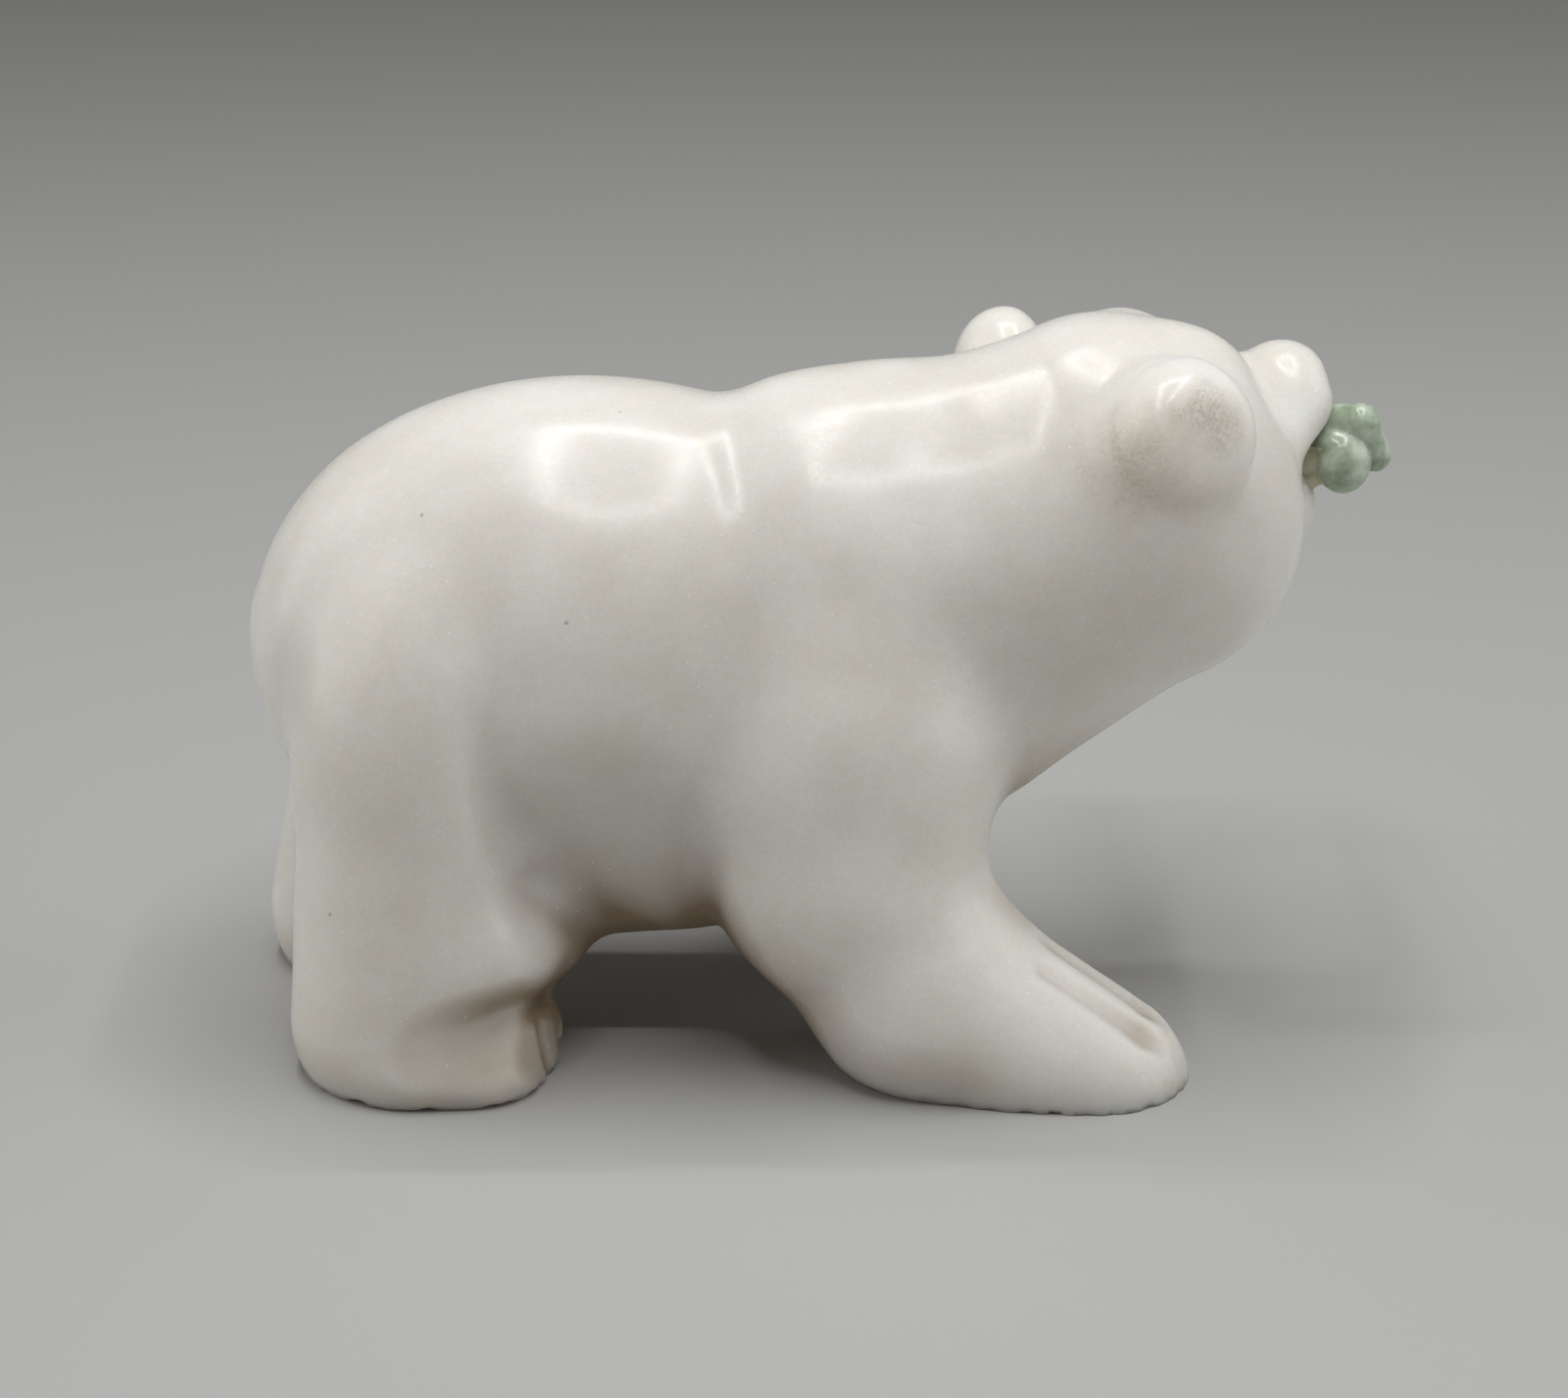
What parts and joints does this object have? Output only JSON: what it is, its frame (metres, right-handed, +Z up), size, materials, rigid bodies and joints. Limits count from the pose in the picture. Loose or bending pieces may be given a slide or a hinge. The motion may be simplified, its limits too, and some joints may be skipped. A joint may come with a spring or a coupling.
{
  "type": "carved bear figurine",
  "caption": "Small solid stone carving of a walking bear with its head turned, a small fish crosswise in its mouth; stands by its own weight on flat soles.",
  "frame": {"origin": "on the floor, at the bottom centre of the bounding box", "axes": "+Z up, +X from the rump towards the chest, +Y towards the bear's left; the head is turned to the left"},
  "size_m": [0.1076, 0.0487, 0.0671],
  "materials": {
    "milky_quartz": "waxy polish, translucent, fine sugary grain",
    "green_stone": "glossy polish, mottled green"
  },
  "bodies": {
    "root": {"polar_bear": "milky_quartz", "jade_fish": "green_stone"}
  },
  "joints": []
}
